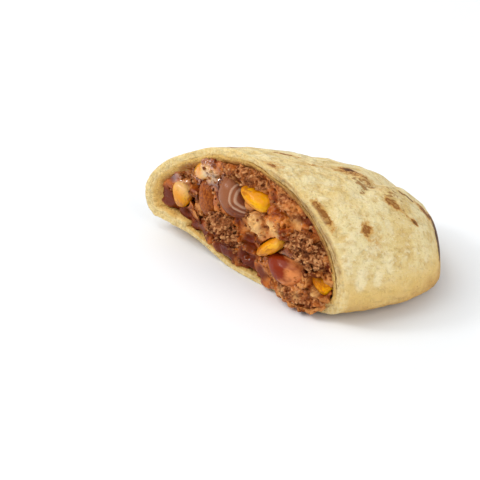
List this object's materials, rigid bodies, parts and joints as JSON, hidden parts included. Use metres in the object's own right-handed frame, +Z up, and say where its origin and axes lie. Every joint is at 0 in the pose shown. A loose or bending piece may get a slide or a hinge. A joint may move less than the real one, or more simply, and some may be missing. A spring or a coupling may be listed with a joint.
{
  "type": "chimichanga half",
  "caption": "Half of a baked chimichanga, cut on a slant to show its filling of beef, beans, sweetcorn and sauce in a double tortilla wrap.",
  "frame": {"origin": "under the middle of the bounding box, on the surface it rests on", "axes": "+X along the roll from the slanted cut to the folded end, +Z up; the cut faces -X and -Y"},
  "size_m": [0.0858, 0.0696, 0.0411],
  "materials": {
    "tortilla": "baked flour dough, pale cream with toasted brown spots, dry and matt",
    "filling": "wet orange-brown sauce with beef crumbs, glossy",
    "sweetcorn": "smooth yellow grain, wet and shiny",
    "bean": "smooth red-brown skin, wet and shiny",
    "minced_beef": "cooked minced beef, dark brown and grainy, moist"
  },
  "bodies": {
    "root": {"tortilla": "tortilla", "filling": "filling", "corn_kernel_1": "sweetcorn", "corn_kernel_2": "sweetcorn", "corn_kernel_3": "sweetcorn", "corn_kernel_4": "sweetcorn", "corn_kernel_5": "sweetcorn", "bean_1": "bean", "bean_2": "bean", "bean_3": "bean", "meat_chunk_1": "minced_beef", "meat_chunk_2": "minced_beef", "meat_chunk_3": "minced_beef", "meat_chunk_4": "minced_beef", "meat_chunk_5": "minced_beef", "meat_chunk_6": "minced_beef", "meat_chunk_7": "minced_beef", "meat_chunk_8": "minced_beef"}
  },
  "joints": []
}
